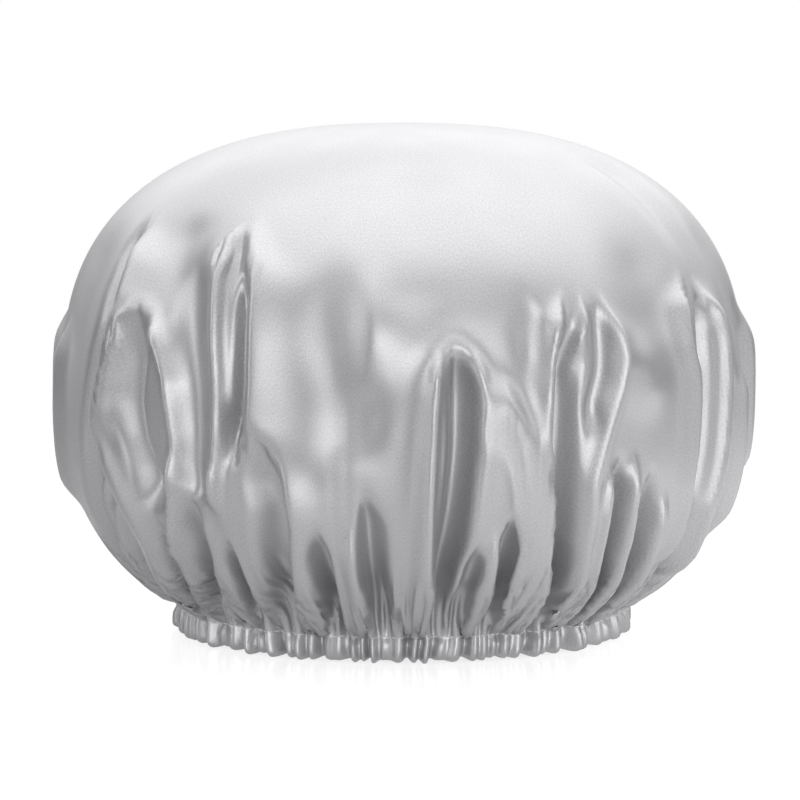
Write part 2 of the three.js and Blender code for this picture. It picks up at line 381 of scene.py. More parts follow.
def pull(first, second, length, free_first, free_second, strength):
    """Moves that bring two sets of points nearer to their length apart."""
    gap = second - first
    size = np.maximum(np.linalg.norm(gap, axis=-1, keepdims=True), TINY)
    total = np.maximum(free_first + free_second, TINY)
    step = gap * (strength * (size - length[..., None]) / size / total)
    return step * free_first, -step * free_second


def pull_round(points, free, lengths, strength):
    """Pulls neighbours round the cap towards their lengths."""
    for start in (0, 1):
        first = points[:, start::2]
        second = np.roll(points, -1, axis=1)[:, start::2]
        free_second = np.roll(free, -1, axis=1)[:, start::2]
        one, two = pull(first, second, lengths[:, start::2], free[:, start::2], free_second, strength)
        points[:, start::2] += one
        if start == 0:
            points[:, 1::2] += two
        else:
            points[:, 2::2] += two[:, :-1]
            points[:, 0] += two[:, -1]


def pull_down(points, free, lengths, strength):
    """Pulls neighbours down the cap towards their lengths."""
    for start in (0, 1):
        pairs = len(lengths[start::2])
        upper = slice(start, start + 2 * pairs - 1, 2)
        lower = slice(start + 1, start + 2 * pairs, 2)
        one, two = pull(points[upper], points[lower], lengths[start::2], free[upper], free[lower], strength)
        points[upper] += one
        points[lower] += two


# How far the satin may move from the plain cap: in, out and sideways, less at the crown and at the hem. The
# pairs are the heights between which each changes

CROWN_HELD = (150, 180)
CROWN_DEPTH = 5
DEPTH_GROWS = (172, 110)
PROUDEST = 6.0
CROWN_PROUD = 0.4
CROWN_GROWS = (165, 120)
HEM_PROUD = 0.3
HEM_GROWS = (10, 45)
SIDEWAYS = 10.0


def grown_share(least, heights, height):
    """A share that grows from its least to 1 between two heights."""
    return least + (1 - least) * smooth_step(*heights, height)


def kept_near(points, cap):
    """Points brought back into the room that the satin has about the plain cap."""
    lowest = -(CROWN_DEPTH + DEEPEST * smooth_step(*DEPTH_GROWS, cap.height))[:, None, None]
    crown_share = grown_share(CROWN_PROUD, CROWN_GROWS, cap.height)
    hem_share = grown_share(HEM_PROUD, HEM_GROWS, cap.height)
    highest = (PROUDEST * crown_share * hem_share)[:, None, None]
    offset = points - cap.points
    level = np.sum(offset * cap.normal, axis=-1, keepdims=True)
    aside = offset - level * cap.normal
    size = np.maximum(np.linalg.norm(aside, axis=-1, keepdims=True), TINY)
    aside *= np.minimum(1, SIDEWAYS / size)
    return cap.points + np.clip(level, lowest, highest) * cap.normal + aside


def relaxed(points, free, cap, lengths, steps):
    """The cloth after some steps under its own stretch, shear and bending."""
    round_lengths, down_lengths = lengths
    target = points.copy()
    before = points.copy()
    diagonal = np.sqrt(((round_lengths[1:] + round_lengths[:-1]) / 2) ** 2 + down_lengths ** 2)
    round_pairs = round_lengths + np.roll(round_lengths, -1, axis=1)
    down_pairs = down_lengths[1:] + down_lengths[:-1]
    free_two_on = np.roll(free, -2, axis=1)
    for _ in range(steps):
        glide = (points - before) * GLIDE
        before = points.copy()
        points = points + free * (glide + SEED_HOLD * (target - points))
        for _ in range(STRETCH_PASSES):
            pull_round(points, free, round_lengths, STRETCH_ROUND)
            pull_down(points, free, down_lengths, STRETCH_DOWN)
        shift = np.zeros_like(points)
        for side in (-1, 1):
            beside = np.roll(points, side, axis=1)[1:]
            free_beside = np.roll(free, side, axis=1)[1:]
            one, two = pull(points[:-1], beside, diagonal, free[:-1], free_beside, SHEAR)
            shift[:-1] += one
            shift[1:] += np.roll(two, -side, axis=1)
        two_on = np.roll(points, -2, axis=1)
        one, two = pull(points, two_on, round_pairs, free, free_two_on, BENDING)
        shift += one + np.roll(two, 2, axis=1)
        one, two = pull(points[:-2], points[2:], down_pairs, free[:-2], free[2:], BENDING)
        shift[:-2] += one
        shift[2:] += two
        points = kept_near(points + shift, cap)
    return points


def spline(values, place, closed):
    """Values between the given ones, on a smooth curve through them."""
    count = len(values)
    index = np.floor(place).astype(int)
    if not closed:
        index = np.clip(index, 0, count - 2)
    share = (place - index)[:, None, None]

    def at(step):
        here = index + step
        return values[here % count] if closed else values[np.clip(here, 0, count - 1)]

    before, start, end, after = at(-1), at(0), at(1), at(2)
    bend = (2 * before - 5 * start + 4 * end - after) * share ** 2
    twist = (3 * start - before - 3 * end + after) * share ** 3
    return 0.5 * (2 * start + (end - before) * share + bend + twist)


def resampled(points, rows, columns):
    """The same values on a grid of other rows and columns."""
    old_rows, old_columns, _ = points.shape
    place = np.maximum(np.arange(1, rows + 1) / rows * old_rows - 1, 0)
    taller = spline(points, place, False)
    around = np.arange(columns) / columns * old_columns
    return spline(taller.transpose(1, 0, 2), around, True).transpose(1, 0, 2)


# How the hem's gathers reach up into the satin. A coarse grid has wider gathers and a fine one the pleats

COARSE_COLUMNS = 300
FINE_COLUMNS = 700
PAIR_DEPTH = 0.8
REACH_SHARE = 0.75
REACH = 20


def satin_body():
    """Rings of the satin from the apex to the seam, with its folds."""
    points = None
    for rows, columns, steps, widest in LEVELS:
        cap = PlainCap(rows, columns)
        relief = sum(fold_relief(fold, cap) for fold in ALL_FOLDS)
        relief = relief + sum(crease_relief(crease, cap) for crease in ALL_CREASES)
        seeded = cap.raised(settled(relief, cap))
        lengths = cut_lengths(cap, seeded, widest)
        if points is None:
            points = seeded
        else:
            points = seeded + resampled(points - coarse, rows, columns)
        coarse = seeded
        fine = smooth_step(COARSE_COLUMNS, FINE_COLUMNS, columns)
        pleats = fine * PLEAT_DEPTH * pleat_wave(cap.bearing)
        ripple = pleats + (1 - fine) * PAIR_DEPTH * paired_wave(cap.bearing)
        outward = np.stack([np.sin(cap.bearing), -np.cos(cap.bearing), np.zeros(columns)], axis=-1)
        near = fine * REACH_SHARE * np.exp(-(cap.along[-1] - cap.along) / REACH)
        points = points + outward[None] * (near[:, None] * ripple[None, :])[..., None]
        points[-1] = cap.points[-1] + outward * ripple[:, None]
        held = smooth_step(*CROWN_HELD, cap.height)[:, None, None]
        free = np.broadcast_to(1 - held, (rows, columns, 1)).copy()
        free[-1] = 0
        points = relaxed(points, free, cap, lengths, steps)
    return points


# The hem: (inset from the seam's radius, height, share of the pleats' depth) down the outside and up inside

HEM_PROFILE = [
    (-0.1, SEAM_HEIGHT - 0.7, 1.0), (-0.3, 7.5, 1.0), (-0.5, 6.2, 1.0), (-0.5, 4.8, 1.05),
    (-0.4, 3.4, 1.1), (-0.2, 2.2, 1.15), (0.2, 1.2, 1.15), (0.8, 0.5, 1.1), (1.5, 0.1, 1.0),
    (2.3, 0.1, 0.9), (2.9, 0.5, 0.75), (3.2, 1.5, 0.65), (LEAF_INSET, 3.0, 0.65), (LEAF_INSET, 5.0, 0.65),
    (LEAF_INSET, 7.0, 0.65), (LEAF_INSET, 8.3, 0.8), (LEAF_INSET - 0.1, SEAM_HEIGHT, 0.95),
    (LEAF_INSET - 0.1, 10.0, 1.0), (LEAF_INSET - 0.1, 10.8, 1.0),
]
HEM_PUFF = 1.1
PUFF_SIZE = 1.4
PUFF_HEIGHT = 6
PUFF_INSETS = (1.2, 0.2)
LEAN_WAVES = [(1.0, 3, 0.5), (0.6, 13, 0)]
FOOT_LIFT = 0.55
FOOT_LIFT_CHANGE = 0.45


def ring_at(bearing, radius, height):
    """Points round the cap, as wide as the radius says and drawn in from front to back."""
    level = np.broadcast_to(height, bearing.shape)
    return np.stack([radius * np.sin(bearing), -radius * np.cos(bearing) * DEPTH_SHARE, level], axis=-1)


def hem_ring(columns, inset, height, pleat_share, lean=0.0):
    """A pleated ring at one height of the hem."""
    bearing = bearings(columns)
    radius = SEAM_RADIUS - inset + pleat_share * PLEAT_DEPTH * pleat_wave(bearing, lean)
    return ring_at(bearing, radius, height)


def hem_puffs(bearing):
    """How much the hem swells between its pleats, from 0 up."""
    swell = np.sin(47 * bearing + 1.3 * np.sin(6 * bearing)) + 0.7 * np.sin(29 * bearing + 2.0)
    return np.clip(swell / PUFF_SIZE, 0, None)


def hem_lean(bearing, height):
    """How far the pleats lean aside below the seam, and how far the hem's foot is lifted between them."""
    drop = smooth_step(SEAM_HEIGHT, 0, height)
    lean = drop * waves(bearing, LEAN_WAVES)
    lift = drop * np.maximum(FOOT_LIFT - FOOT_LIFT_CHANGE * pleat_wave(bearing, lean), 0)
    return lean, lift


def hem_rings(columns):
    """Rings of the hem from the seam down, round its foot and up inside."""
    bearing = bearings(columns)
    rings = []
    for inset, height, share in HEM_PROFILE:
        puff_share = smooth_step(SEAM_HEIGHT, PUFF_HEIGHT, height) * smooth_step(*PUFF_INSETS, inset)
        puffed = inset - HEM_PUFF * hem_puffs(bearing) * puff_share
        lean, lift = hem_lean(bearing, height)
        ring = hem_ring(columns, puffed, height, share, lean)
        ring[:, 2] += lift
        rings.append(ring)
    return np.array(rings)


# Meshes

def mesh_piece(name, points, faces, coordinates):
    """A smooth mesh from points in millimetres, with flat coordinates per point."""
    mesh = bpy.data.meshes.new(name)
    mesh.from_pydata((points / METRE).tolist(), [], faces)
    mesh.validate()
    mesh.shade_smooth()
    layer = mesh.uv_layers.new(name="cut")
    corners = np.empty(len(mesh.loops), dtype=np.int32)
    mesh.loops.foreach_get("vertex_index", corners)
    layer.data.foreach_set("uv", coordinates[corners].ravel())
    piece = bpy.data.objects.new(name, mesh)
    bpy.context.collection.objects.link(piece)
    return piece


def ring_faces(rows, columns):
    """Faces between rings of points that are closed round the cap."""
    index = np.arange(rows * columns).reshape(rows, columns)
    beside = np.roll(index, -1, axis=1)
    return np.stack([index[:-1], index[1:], beside[1:], beside[:-1]], axis=-1).reshape(-1, 4).tolist()


CUT_SPAN = 620.0
CUT_MIDDLE = 0.5


def cut_coordinates(along, columns):
    """Places on the flat circle that a sheet was cut from, for rings at these distances from its middle."""
    bearing = bearings(columns)
    side = along[:, None] * np.sin(bearing)[None, :]
    front = along[:, None] * np.cos(bearing)[None, :]
    return np.stack([CUT_MIDDLE + side / CUT_SPAN, CUT_MIDDLE + front / CUT_SPAN], axis=-1).reshape(-1, 2)


def dome_piece(name, rings, along, apex_height):
    """A sheet of the cap: rings from the apex down, closed at the apex."""
    rows, columns, _ = rings.shape
    points = np.concatenate([rings.reshape(-1, 3), [(0, 0, apex_height)]])
    top = len(points) - 1
    crown = [(top, column, (column + 1) % columns) for column in range(columns)]
    coordinates = np.concatenate([cut_coordinates(along, columns), [(CUT_MIDDLE, CUT_MIDDLE)]])
    return mesh_piece(name, points, ring_faces(rows, columns) + crown, coordinates)


def soft_piece(piece, node, material):
    """Dresses a piece that stands for its CAD node: gives it its material, hides the node and bakes its
    place into its mesh.
    """
    piece.data.materials.append(material)
    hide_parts(node)
    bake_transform(piece)


# The lining lies inside the deepest satin near each place, and its edge is caught in the seam

LINING_ROWS = 60
LINING_COLUMNS = 528
LINING_GAP = 1.1
SPREAD_STEPS = 2
SMOOTH_STEPS = 6
SMOOTH_RISE = 1.0
GATHER_CREST = 1.1
GATHER_DEPTH = 1.8
GATHER_HEIGHTS = (150, 60)
DRAWN_IN = 2.0
DRAWN_HEIGHTS = (45, 20)
BODY_ABOVE_SEAM = 5
EDGE_SHARE = 0.8
EDGE_RINGS = [
    (4.0, SEAM_HEIGHT + 3.2), (2.0, SEAM_HEIGHT + 1.2), (1.5, SEAM_HEIGHT), (1.5, lining_low[2]),
]


def satin_level(satin, cap):
    """Level of the deepest satin near each place on the plain cap."""
    flat = satin.reshape(-1, 3)
    bearing = np.arctan2(flat[:, 0], -flat[:, 1] / DEPTH_SHARE)
    radius = np.hypot(flat[:, 0], flat[:, 1] / DEPTH_SHARE)
    turn = (bearing + math.pi) / (2 * math.pi)
    near_column = np.round(turn * cap.columns).astype(int) % cap.columns
    crown = flat[:, 2] > WIDEST_HEIGHT
    slant = np.where(crown, np.arctan2(flat[:, 2] - WIDEST_HEIGHT, radius), 0)
    row_slant = np.arctan2(cap.height - WIDEST_HEIGHT, cap.radius)
    by_slant = np.interp(-slant, -row_slant, np.arange(cap.rows))
    by_height = np.interp(-flat[:, 2], -cap.height, np.arange(cap.rows))
    near_row = np.round(np.where(crown, by_slant, by_height)).astype(int)
    nearest = (near_row, near_column)
    level = np.zeros((cap.rows, cap.columns))
    np.minimum.at(level, nearest, np.sum((flat - cap.points[nearest]) * cap.normal[nearest], axis=-1))
    return level


def lining_rings(satin):
    """Rings of the film from the apex to the seam."""
    cap = PlainCap(LINING_ROWS, LINING_COLUMNS)
    level = satin_level(satin, cap)
    for _ in range(SPREAD_STEPS):
        level = np.minimum(level, np.minimum(np.roll(level, 1, axis=1), np.roll(level, -1, axis=1)))
        level[1:] = np.minimum(level[1:], level[:-1])
        level[:-1] = np.minimum(level[:-1], level[1:])
    smooth = level.copy()
    for _ in range(SMOOTH_STEPS):
        smooth = 0.5 * smooth + 0.25 * (np.roll(smooth, 1, axis=1) + np.roll(smooth, -1, axis=1))
        smooth[1:-1] = 0.5 * smooth[1:-1] + 0.25 * (smooth[2:] + smooth[:-2])
    gathered = smooth_step(*GATHER_HEIGHTS, cap.height)[:, None]
    gathers = gathered * (GATHER_CREST - pleat_wave(cap.bearing))[None, :]
    near_hem = smooth_step(*DRAWN_HEIGHTS, cap.height)[:, None]
    inside = np.minimum(smooth, level + SMOOTH_RISE) - LINING_GAP
    rings = cap.raised(inside - GATHER_DEPTH * gathers - DRAWN_IN * near_hem)
    body = rings[cap.height > SEAM_HEIGHT + BODY_ABOVE_SEAM]
    edge = [hem_ring(LINING_COLUMNS, inset, height, EDGE_SHARE) for inset, height in EDGE_RINGS]
    return np.concatenate([body, edge])


# Threads and elastic. A thread's flat coordinates count these millimetres along it and radians round it as 1

THREAD_RUN = 10
THREAD_TURN = 6.3


def distance_along(path):
    """Distance from the start of a path to each of its points."""
    return np.concatenate([[0], np.cumsum(np.linalg.norm(np.diff(path, axis=0), axis=1))])


def swept(paths, sides, radii):
    """Round tubes along paths, each with a radius per point. Gives points, faces and coordinates."""
    points = []
    faces = []
    coordinates = []
    first = 0
    turn = np.arange(sides) / sides * 2 * math.pi
    for path, radius in zip(paths, radii):
        along = np.gradient(path, axis=0)
        along /= np.linalg.norm(along, axis=1, keepdims=True)
        up = np.cross(along, (0, 0, 1))
        up /= np.maximum(np.linalg.norm(up, axis=1, keepdims=True), TINY)
        across = np.cross(along, up)
        reach = radius[:, None, None]
        ring = (path[:, None] + up[:, None] * np.cos(turn)[None, :, None] * reach
                + across[:, None] * np.sin(turn)[None, :, None] * reach)
        points.append(ring.reshape(-1, 3))
        shape = (len(path), sides)
        run = np.broadcast_to(distance_along(path)[:, None] / THREAD_RUN, shape)
        wrap = np.broadcast_to(turn[None, :] / THREAD_TURN, shape)
        coordinates.append(np.stack([run, wrap], axis=-1).reshape(-1, 2))
        faces += [[first + corner for corner in face] for face in ring_faces(*shape)]
        last = first + (len(path) - 1) * sides
        faces.append([first + side for side in range(sides)])
        faces.append([last + side for side in reversed(range(sides))])
        first = last + sides
    return np.concatenate(points), faces, np.concatenate(coordinates)


STITCH_COLUMNS = 1408
STITCH_PITCH = 3.0
STITCH_LENGTH = 2.5
STITCH_STEPS = 6
STITCH_SIDES = 6
STITCH_ARCH = 0.6
STITCH_SUNK = 0.5
STITCH_ENDS = 0.55
STITCH_BELLY = 0.5


def stitch_paths(ring, face_sign):
    """Single stitches along a closed ring of points, each dipping into the cloth at its ends."""
    closed = np.concatenate([ring, ring[:1]])
    length = distance_along(closed)
    tangent = np.gradient(closed, axis=0)
    face = np.stack([tangent[:, 1], -tangent[:, 0], np.zeros(len(closed))], axis=-1)
    face /= np.linalg.norm(face, axis=1, keepdims=True)

    def at(place, values):
        found = [np.interp(place, length, column, period=length[-1]) for column in values.T]
        return np.stack(found, axis=-1)

    count = int(length[-1] / STITCH_PITCH)
    share = np.linspace(0, 1, STITCH_STEPS)
    rise = np.sin(share * math.pi) ** STITCH_ARCH
    standing = (THREAD / 2 * (rise - STITCH_SUNK))[:, None]
    radius = THREAD / 2 * (STITCH_ENDS + STITCH_BELLY * rise)
    paths = []
    for number in range(count):
        place = length[-1] * number / count + STITCH_LENGTH * share
        paths.append(at(place, closed) + face_sign * at(place, face) * standing)
    return paths, [radius] * count


def stitch_piece(name, inset, share, face_sign):
    """The stitches on one side of the seam, as one mesh."""
    ring = hem_ring(STITCH_COLUMNS, inset, SEAM_HEIGHT, share)
    paths, radii = stitch_paths(ring, face_sign)
    return mesh_piece(name, *swept(paths, STITCH_SIDES, radii))


ELASTIC_COLUMNS = 480
ELASTIC_STEPS = 9
ELASTIC_STANDOUT = 0.6
ELASTIC_THICKNESS = 0.9
ELASTIC_SHARE = 0.8
EDGE_ROUNDING = 0.2
RIB = 0.06
BUTT_GAP = 0.3


def elastic_section():
    """Inset and height of points up the strip's outer face and down its inner one."""
    low = elastic_low[2]
    high = elastic_high[2]
    last = ELASTIC_STEPS - 1
    outer = []
    inner = []
    for step in range(ELASTIC_STEPS):
        rounding = 0.0 if 0 < step < last else EDGE_ROUNDING
        outer.append((rounding, low + (high - low) * (step / last)))
        inner.append((ELASTIC_THICKNESS - rounding, low + (high - low) * (1 - step / last)))
    return outer + inner


def elastic_piece():
    """A flat braided strip with rounded edges and fine ribs, its two ends butted at the back."""
    outer = elastic_high[0] - ELASTIC_STANDOUT
    half_gap = BUTT_GAP / 2 / outer
    bearing = np.linspace(-math.pi + half_gap, math.pi - half_gap, ELASTIC_COLUMNS)
    rib = RIB * np.cos(np.arange(ELASTIC_COLUMNS) * math.pi)
    rings = []
    for inset, height in elastic_section():
        braid = rib if inset < ELASTIC_THICKNESS / 2 else -rib
        lean, lift = hem_lean(bearing, height)
        radius = outer - inset + braid + ELASTIC_SHARE * PLEAT_DEPTH * pleat_wave(bearing, lean)
        rings.append(ring_at(bearing, radius, height + lift))
    rings = np.array(rings).transpose(1, 0, 2)
    count, around, _ = rings.shape
    faces = ring_faces(count, around)
    last = (count - 1) * around
    faces.append(list(reversed(range(around))))
    faces.append([last + side for side in range(around)])
    run = np.broadcast_to((np.arange(count) / count)[:, None], (count, around))
    wrap = np.broadcast_to(np.arange(around) / around, (count, around))
    coordinates = np.stack([run, wrap], axis=-1).reshape(-1, 2)
    return mesh_piece("elastic_strip", rings.reshape(-1, 3), faces, coordinates)


JOIN_STROKES = 5
STROKE_STEPS = 8
JOIN_SIDES = 8


def join_stitch_piece():
    """Zigzag stitches over the butted ends of the elastic, standing on its inner face."""
    left, right = join_low[0] + THREAD / 2, join_high[0] - THREAD / 2
    low, high = join_low[2] + THREAD / 2, join_high[2] - THREAD / 2
    front, back = join_low[1], join_high[1]
    turns = []
    for turn in range(JOIN_STROKES + 1):
        share = turn / JOIN_STROKES
        side = left if turn % 2 == 0 else right
        turns.append((side, low + (high - low) * share))
    path = []
    for (start_x, start_z), (end_x, end_z) in zip(turns[:-1], turns[1:]):
        for share in np.linspace(0, 1, STROKE_STEPS, endpoint=False):
            x = start_x + (end_x - start_x) * share
            depth = back + (front - back) * (x - left) / (right - left)
            path.append((x, depth, start_z + (end_z - start_z) * share))
    end_x, end_z = turns[-1]
    path.append((end_x, front, end_z))
    radius = np.full(len(path), THREAD / 2)
    return mesh_piece("elastic_join_zigzag", *swept([np.array(path)], JOIN_SIDES, [radius]))


# Materials

def new_group(name, inputs, outputs):
    """A shader group with its sockets, and its input and output nodes."""
    group = bpy.data.node_groups.new(name, "ShaderNodeTree")
    for socket, kind, value in inputs:
        made = group.interface.new_socket(socket, in_out="INPUT", socket_type=kind)
        if value is not None:
            made.default_value = value
    for socket in outputs:
        group.interface.new_socket(socket, in_out="OUTPUT", socket_type="NodeSocketFloat")
    return group, group.nodes.new("NodeGroupInput"), group.nodes.new("NodeGroupOutput")


def fibre_grain_group():
    """Fibres drawn out one way: a height for bumps and a tone for colour."""
    group, given, result = new_group(
        "fibre_grain",
        [("Vector", "NodeSocketVector", None), ("Across", "NodeSocketFloat", 1.0),
         ("Along", "NodeSocketFloat", 1.0)],
        ["Height", "Tone"])
    stretch = group.nodes.new("ShaderNodeCombineXYZ")
    placed = group.nodes.new("ShaderNodeVectorMath")
    placed.operation = "MULTIPLY"
    fibres = group.nodes.new("ShaderNodeTexNoise")
    fibres.inputs["Scale"].default_value = 1.0
    fibres.inputs["Detail"].default_value = 2.0
    blotches = group.nodes.new("ShaderNodeTexNoise")
    blotches.inputs["Scale"].default_value = 0.13
    blotches.inputs["Detail"].default_value = 3.0
    link = group.links.new
    link(given.outputs["Across"], stretch.inputs["X"])
    link(given.outputs["Along"], stretch.inputs["Y"])
    link(given.outputs["Along"], stretch.inputs["Z"])
    link(given.outputs["Vector"], placed.inputs[0])
    link(stretch.outputs["Vector"], placed.inputs[1])
    link(placed.outputs["Vector"], fibres.inputs["Vector"])
    link(placed.outputs["Vector"], blotches.inputs["Vector"])
    link(fibres.outputs["Fac"], result.inputs["Height"])
    link(blotches.outputs["Fac"], result.inputs["Tone"])
    return group


def uneven_finish_group():
    """Slow changes over a surface, between a low and a high value."""
    group, given, result = new_group(
        "uneven_finish",
        [("Vector", "NodeSocketVector", None), ("Scale", "NodeSocketFloat", 20.0),
         ("Low", "NodeSocketFloat", 0.0), ("High", "NodeSocketFloat", 1.0)],
        ["Value"])
    noise = group.nodes.new("ShaderNodeTexNoise")
    noise.inputs["Detail"].default_value = 4.0
    spread = group.nodes.new("ShaderNodeMapRange")
    spread.inputs["From Min"].default_value = 0.3
    spread.inputs["From Max"].default_value = 0.7
    link = group.links.new
    link(given.outputs["Vector"], noise.inputs["Vector"])
    link(given.outputs["Scale"], noise.inputs["Scale"])
    link(noise.outputs["Fac"], spread.inputs["Value"])
    link(given.outputs["Low"], spread.inputs["To Min"])
    link(given.outputs["High"], spread.inputs["To Max"])
    link(spread.outputs["Result"], result.inputs["Value"])
    return group


FIBRE_GRAIN = fibre_grain_group()
UNEVEN_FINISH = uneven_finish_group()


class Finish:
    """A material whose colour, roughness and bump come from the shared groups."""

    def __init__(self, name, coordinate):
        self.material = bpy.data.materials.new(name)
        self.material.use_nodes = True
        self.nodes = self.material.node_tree.nodes
        self.link = self.material.node_tree.links.new
        self.shader = self.nodes["Principled BSDF"]
        self.place = self.nodes.new("ShaderNodeTexCoord").outputs[coordinate]

    def set(self, **values):
        for socket, value in values.items():
            self.shader.inputs[socket.replace("_", " ")].default_value = value

    def group(self, tree, **values):
        node = self.nodes.new("ShaderNodeGroup")
        node.node_tree = tree
        self.link(self.place, node.inputs["Vector"])
        for socket, value in values.items():
            node.inputs[socket].default_value = value
        return node

    def colours(self, factor, dark, light):
        mix = self.nodes.new("ShaderNodeMix")
        mix.data_type = "RGBA"
        mix.inputs["A"].default_value = (*dark, 1)
        mix.inputs["B"].default_value = (*light, 1)
        self.link(factor, mix.inputs["Factor"])
        self.link(mix.outputs["Result"], self.shader.inputs["Base Color"])

    def roughness(self, scale, low, high):
        finish = self.group(UNEVEN_FINISH, Scale=scale, Low=low, High=high)
        self.link(finish.outputs["Value"], self.shader.inputs["Roughness"])

    def bump(self, height, strength, distance):
        bump = self.nodes.new("ShaderNodeBump")
        bump.inputs["Strength"].default_value = strength
        bump.inputs["Distance"].default_value = distance / METRE
        self.link(height, bump.inputs["Height"])
        self.link(bump.outputs["Normal"], self.shader.inputs["Normal"])


def silver_satin():
    """Satin with long floats of bright yarn: a fine drawn grain and a soft metallic lustre."""
    finish = Finish("silver_satin", "UV")
    grain = finish.group(FIBRE_GRAIN, Across=1000.0, Along=800.0)
    finish.colours(grain.outputs["Height"], dark=(0.35, 0.35, 0.362), light=(0.64, 0.64, 0.652))
    finish.roughness(scale=38.0, low=0.41, high=0.47)
    finish.bump(grain.outputs["Height"], strength=0.3, distance=0.1)
    finish.set(Metallic=0.75, Sheen_Weight=0.08, Sheen_Roughness=0.4)
    return finish.material


def milky_film():
    """Thin waterproof film, faintly crinkled."""
    finish = Finish("milky_film", "UV")
    crinkle = finish.group(FIBRE_GRAIN, Across=90.0, Along=70.0)
    finish.colours(crinkle.outputs["Tone"], dark=(0.74, 0.765, 0.775), light=(0.84, 0.86, 0.87))
    finish.roughness(scale=24.0, low=0.26, high=0.42)
    finish.bump(crinkle.outputs["Height"], strength=0.35, distance=0.6)
    finish.set(IOR=1.5, Coat_Weight=0.15, Coat_Roughness=0.25)
    return finish.material


def braided_elastic():
    """White braid: close ribs across the strip and slightly yellowed covering yarn."""
    finish = Finish("braided_elastic", "UV")
    braid = finish.group(FIBRE_GRAIN, Across=480.0, Along=26.0)
    finish.colours(braid.outputs["Tone"], dark=(0.72, 0.70, 0.65), light=(0.84, 0.83, 0.79))
    finish.roughness(scale=30.0, low=0.7, high=0.9)
    finish.bump(braid.outputs["Height"], strength=0.5, distance=0.2)
    finish.set(Sheen_Weight=0.2, Sheen_Roughness=0.5)
    return finish.material


def silver_thread():
    """Twisted polyester thread, a little paler than the satin."""
    finish = Finish("silver_thread", "UV")
    twist = finish.group(FIBRE_GRAIN, Across=60.0, Along=9.0)
    finish.colours(twist.outputs["Tone"], dark=(0.70, 0.705, 0.72), light=(0.86, 0.865, 0.88))
    finish.roughness(scale=16.0, low=0.38, high=0.55)
    finish.bump(twist.outputs["Height"], strength=0.5, distance=0.08)
    finish.set(Sheen_Weight=0.15, Sheen_Roughness=0.4)
    return finish.material


SATIN_FINISH = silver_satin()
FILM_FINISH = milky_film()
ELASTIC_FINISH = braided_elastic()
THREAD_FINISH = silver_thread()

# The pieces

satin_rings = satin_body()
satin_rows, satin_columns, _ = satin_rings.shape
hem = hem_rings(satin_columns)
hem_path = [(SEAM_RADIUS, SEAM_HEIGHT)]
hem_path += [(SEAM_RADIUS - inset, height) for inset, height, _ in HEM_PROFILE]
body_along = PlainCap(satin_rows, satin_columns).along
satin_along = np.concatenate([body_along, body_along[-1] + distance_along(hem_path)[1:]])
satin = dome_piece("satin_cap", np.concatenate([satin_rings, hem]), satin_along, CAP_HEIGHT)
soft_piece(satin, "satin_shell", SATIN_FINISH)

film_rings = lining_rings(satin_rings)
film_along = np.linspace(0, FINE_ALONG[-1], len(film_rings) + 1)[1:]
film = dome_piece("film_lining", film_rings, film_along, CAP_HEIGHT - LINING_GAP)
soft_piece(film, "waterproof_lining", FILM_FINISH)

elastic = elastic_piece()
soft_piece(elastic, "elastic_band", ELASTIC_FINISH)

needle = stitch_piece("hem_needle_stitches", inset=-0.1, share=1.0, face_sign=1)
soft_piece(needle, "hem_needle_thread", THREAD_FINISH)

bobbin = stitch_piece("hem_bobbin_stitches", inset=LEAF_INSET, share=0.95, face_sign=-1)
soft_piece(bobbin, "hem_bobbin_thread", THREAD_FINISH)

join = join_stitch_piece()
join.data.materials.append(THREAD_FINISH)
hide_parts("elastic_join_stitch")
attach(join, "elastic")


# Stage

WHITE = (1, 1, 1, 1)
TABLE_HALF = 1.5
TABLE_GREY = (0.3, 0.3, 0.3, 1)
# Painted light: the table's glow towards the cap, by place across it, dark on the left and bright on the
# right
TABLE_GLOW = [(0.43, (0.2, 0.2, 0.2, 1)), (0.62, (1.3, 1.3, 1.3, 1))]
TABLE_FADE = (0.35, 0.75)
WALL_LEAN = (0.14, 0.3, 1.0)
WALL_TONES = [(0.0, (0.11, 0.11, 0.113, 1)), (0.42, (0.30, 0.30, 0.305, 1)), (0.66, WHITE)]
WALL_STRENGTH = 1.15


def tone_ramp(nodes, stops):
    """A colour ramp through these stops, each a position and a colour."""
    ramp = nodes.new("ShaderNodeValToRGB")
    elements = ramp.color_ramp.elements
    elements[0].position, elements[0].color = stops[0]
    elements[1].position, elements[1].color = stops[-1]
    for position, colour in stops[1:-1]:
        elements.new(position).color = colour
    return ramp


